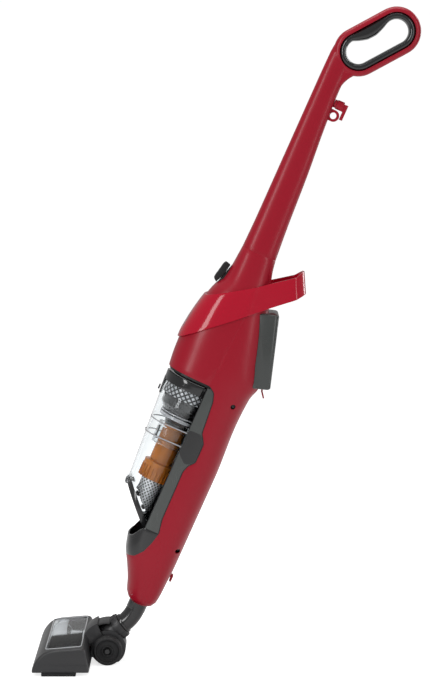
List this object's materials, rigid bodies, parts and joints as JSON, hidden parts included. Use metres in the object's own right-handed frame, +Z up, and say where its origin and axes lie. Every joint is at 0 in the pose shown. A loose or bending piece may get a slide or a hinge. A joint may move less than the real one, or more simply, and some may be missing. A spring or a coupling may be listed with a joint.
{
  "type": "upright stick vacuum",
  "caption": "Leaning bagless stick vacuum with a D-shaped grip, carry band, clear cyclone dust cup and a wheeled turbine floor head.",
  "frame": {"origin": "on the floor, below the axle of the floor head's rear wheels, in the middle plane", "axes": "+Z up, +X to the rear (the body leans back towards it), +Y to the machine's right"},
  "size_m": [0.6521, 0.24, 1.1211],
  "materials": {
    "satin_red": "satin moulded ABS, red",
    "gloss_red": "high gloss moulded ABS, bright red",
    "black_plastic": "fine matt black moulding",
    "soft_black": "soft black elastomer",
    "dark_grey": "satin charcoal moulding",
    "trim_grey": "satin grey moulding",
    "clear": "clear polycarbonate",
    "amber": "translucent amber moulding",
    "mesh_steel": "perforated steel",
    "steel": "bright steel",
    "copper": "stator winding and laminations",
    "foam": "filter foam",
    "filter_white": "pleated filter paper",
    "board": "circuit board",
    "alu": "pressed aluminium",
    "badge_silver": "silver lacquered plastic",
    "duct_white": "pale grey moulding",
    "bristle": "nylon tufts",
    "wheel_rubber": "soft black wheel"
  },
  "bodies": {
    "main_body": {"handle_left": "satin_red", "handle_right": "satin_red", "grip_insert": "soft_black", "cord_eye": "satin_red", "hook_pivot": "satin_red", "spine_left": "satin_red", "spine_right": "satin_red", "front_hood": "satin_red", "lower_cover": "satin_red", "chin_cradle": "dark_grey", "cup_bay": "trim_grey", "carry_band": "gloss_red", "badge_disc": "badge_silver", "lower_cord_hook": "satin_red", "cord_gland": "soft_black", "housing_screws": "steel", "intake_plate": "black_plastic", "suction_duct": "dark_grey", "fan_housing": "dark_grey", "motor_can": "steel", "motor_stator": "copper", "motor_bearings": "steel", "motor_mount": "soft_black", "control_board": "board", "switch_body": "black_plastic", "exhaust_filter": "filter_white", "neck_pipe": "dark_grey"},
    "cord_hook": {"upper_cord_hook": "satin_red"},
    "power_switch": {"switch_slider": "black_plastic"},
    "rotor": {"motor_rotor": "steel", "fan_impeller": "alu"},
    "exhaust_panel": {"exhaust_cover": "trim_grey"},
    "panel_latch": {"cover_latch": "satin_red"},
    "dust_cup": {"cup_wall": "clear", "cup_collar": "black_plastic", "foam_filter": "foam", "shroud_screen": "trim_grey", "cyclone_tube": "amber", "dirt_collar": "amber", "mesh_cone": "mesh_steel", "inlet_scroll": "clear", "lid_pin": "steel"},
    "release_button": {"cup_latch": "black_plastic"},
    "lid": {"cup_lid": "dark_grey", "lid_seal": "soft_black"},
    "neck_yoke": {"swivel_collar": "dark_grey", "yoke": "dark_grey"},
    "floor_head": {"head_base": "dark_grey", "head_cover": "dark_grey", "head_window": "clear", "air_duct": "duct_white", "sole_skid": "dark_grey", "brush_bearings": "steel", "drive_belt": "soft_black", "wheel_axles": "steel"},
    "brush": {"brush_roll": "dark_grey", "brush_bristles": "bristle"},
    "turbine_wheel": {"turbine": "black_plastic"},
    "wheel_left": {"rear_wheel_left": "wheel_rubber"},
    "wheel_right": {"rear_wheel_right": "wheel_rubber"}
  },
  "joints": [
    {"name": "hook_turn", "type": "hinge", "parent": "main_body", "child": "cord_hook", "pos_m": [0.38497, 0, 0.95481], "axis": [0.9135, 0, -0.4067], "range_deg": [0, 180]},
    {"name": "switch_slide", "type": "slide", "parent": "main_body", "child": "power_switch", "axis": [0.6494, 0, 0.7604], "range_m": [0, 0.006]},
    {"name": "motor_spin", "type": "hinge", "parent": "main_body", "child": "rotor", "pos_m": [0.17761, 0, 0.52718], "axis": [0.4067, 0, 0.9135], "continuous": true},
    {"name": "panel_pull", "type": "slide", "parent": "main_body", "child": "exhaust_panel", "axis": [0.993, 0, -0.1183], "range_m": [0, 0.06]},
    {"name": "latch_flex", "type": "hinge", "parent": "exhaust_panel", "child": "panel_latch", "pos_m": [0.26318, 0, 0.47395], "axis": [0, -1, 0], "range_deg": [0, 12], "stiffness_Nm_per_rad": 0.1},
    {"name": "cup_release", "type": "slide", "parent": "main_body", "child": "dust_cup", "axis": [-0.9135, 0, 0.4067], "range_m": [0, 0.15]},
    {"name": "button_press", "type": "slide", "parent": "dust_cup", "child": "release_button", "axis": [0.9135, 0, -0.4067], "range_m": [0, 0.0024], "stiffness_N_per_m": 400},
    {"name": "lid_open", "type": "hinge", "parent": "dust_cup", "child": "lid", "pos_m": [0.03446, 0, 0.31506], "axis": [0, 1, 0], "range_deg": [0, 85]},
    {"name": "neck_swivel", "type": "hinge", "parent": "main_body", "child": "neck_yoke", "pos_m": [0.01888, 0, 0.0578], "axis": [0.809, 0, 0.5878], "range_deg": [-60, 60]},
    {"name": "head_pitch", "type": "hinge", "parent": "neck_yoke", "child": "floor_head", "pos_m": [0, 0, 0.025], "axis": [0, 1, 0], "range_deg": [-46, 22]},
    {"name": "brush_spin", "type": "hinge", "parent": "floor_head", "child": "brush", "pos_m": [-0.087, 0, 0.0205], "axis": [0, 1, 0], "continuous": true},
    {"name": "turbine_spin", "type": "hinge", "parent": "floor_head", "child": "turbine_wheel", "pos_m": [-0.045, 0, 0.026], "axis": [0, 1, 0], "continuous": true},
    {"name": "wheel_left_spin", "type": "hinge", "parent": "floor_head", "child": "wheel_left", "pos_m": [0, -0.039, 0.025], "axis": [0, 1, 0], "continuous": true},
    {"name": "wheel_right_spin", "type": "hinge", "parent": "floor_head", "child": "wheel_right", "pos_m": [0, 0.039, 0.025], "axis": [0, 1, 0], "continuous": true}
  ],
  "couplings": [
    {"joint": "turbine_spin", "follows": "brush_spin", "ratio": 2.4}
  ]
}
